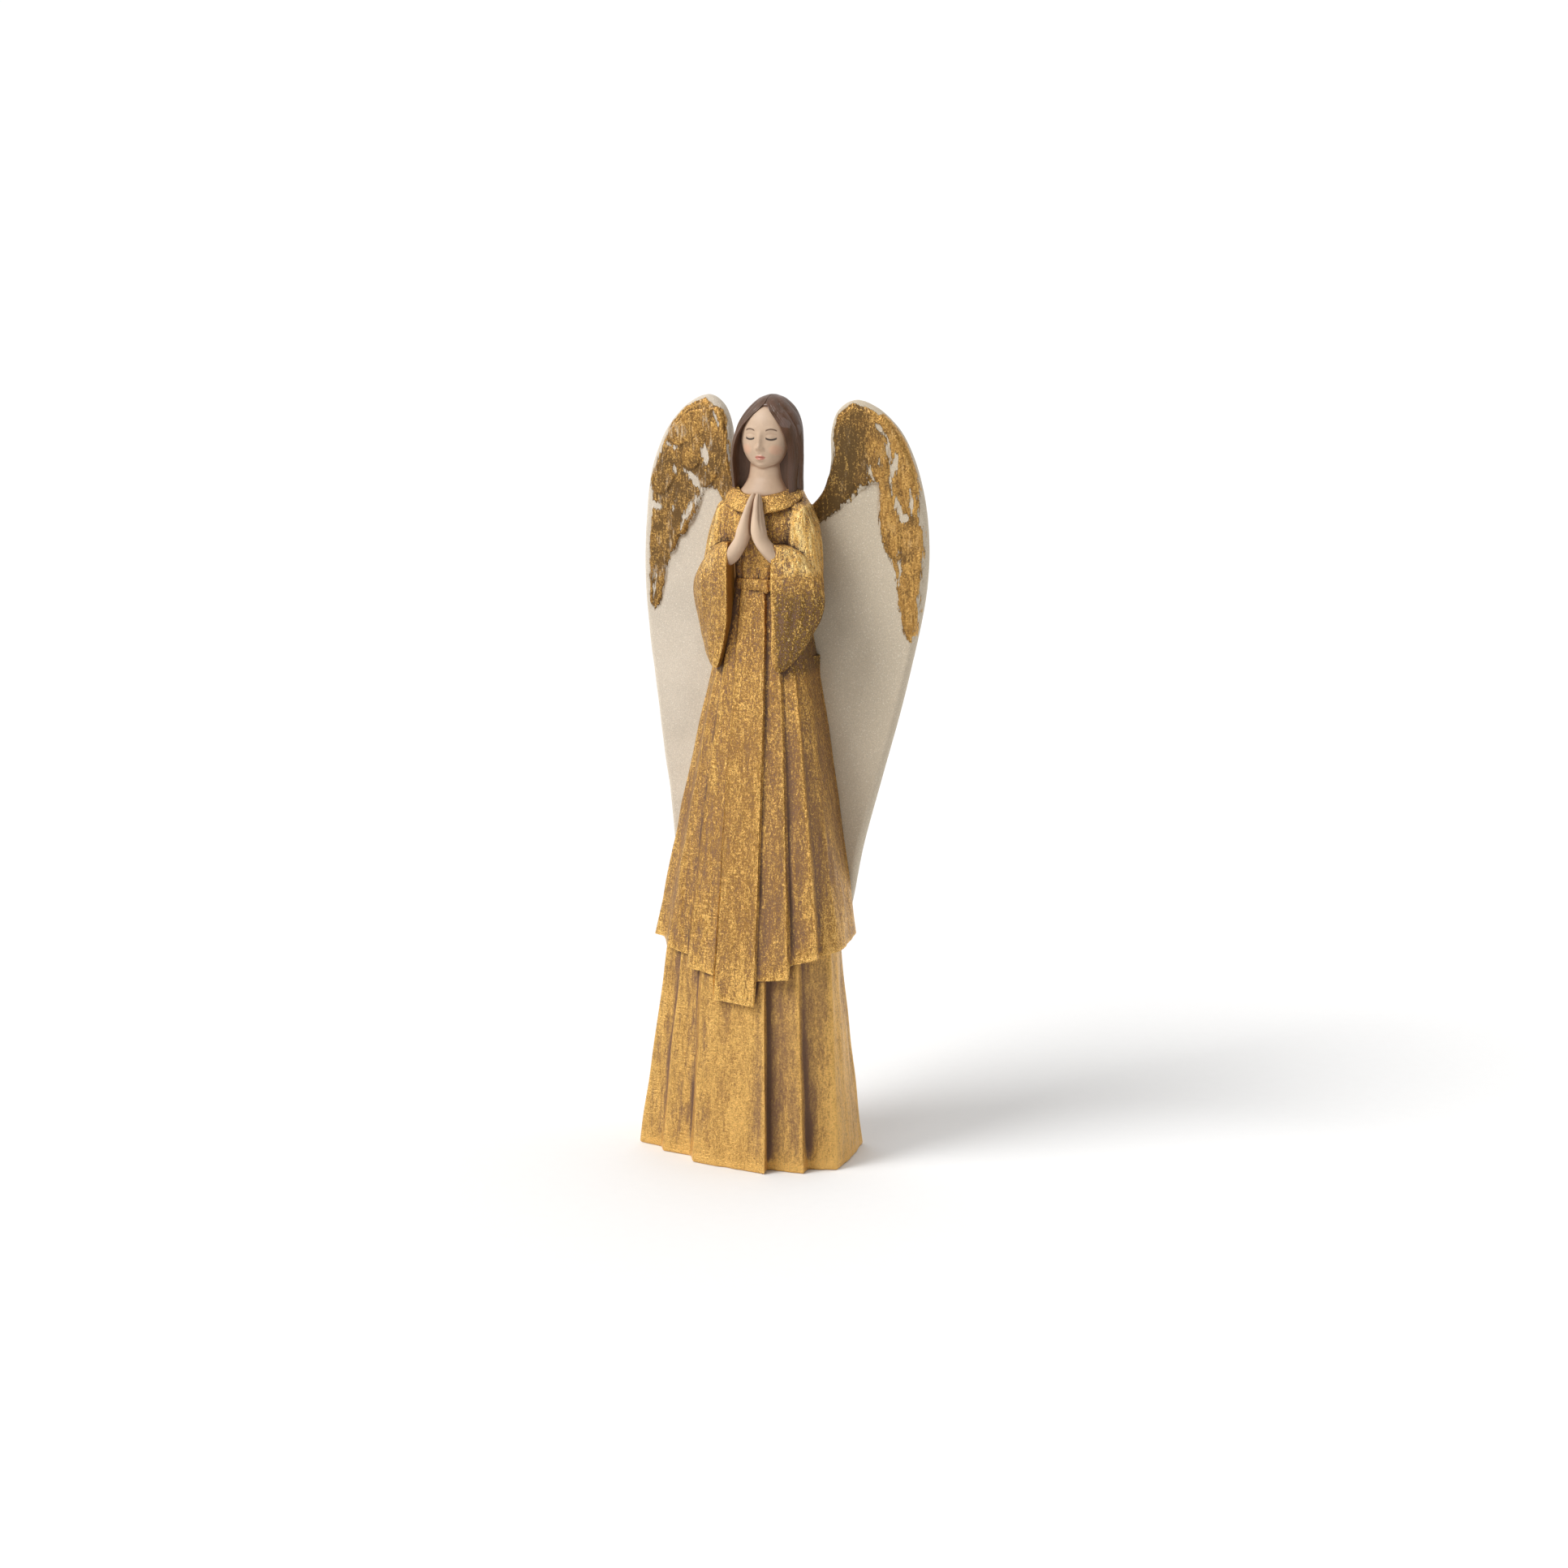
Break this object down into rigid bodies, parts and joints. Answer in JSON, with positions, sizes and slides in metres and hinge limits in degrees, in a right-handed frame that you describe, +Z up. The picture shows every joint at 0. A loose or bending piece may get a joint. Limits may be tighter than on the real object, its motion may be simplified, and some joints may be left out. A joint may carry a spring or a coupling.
{
  "type": "praying angel figurine",
  "caption": "Standing praying angel in a stepped, pleated gilded gown with bell sleeves, long hair and tall flat wings with raised gilded feathers.",
  "frame": {"origin": "middle of the footprint of the whole part, on the surface that it stands on", "axes": "+Z up from the feet to the head, -Y the way the figure faces, +X towards the figure's own left hand"},
  "size_m": [0.1618, 0.0739, 0.4],
  "materials": {
    "gilded_gown": "cast resin with worn gold leaf over mauve-brown paint, pale painted face and hands, dark brown painted hair",
    "cream_wing": "cast resin painted cream with fine sand texture and glitter, feathers picked out in worn gold"
  },
  "bodies": {
    "root": {"angel_figure": "gilded_gown", "left_wing": "cream_wing", "right_wing": "cream_wing"}
  },
  "joints": []
}
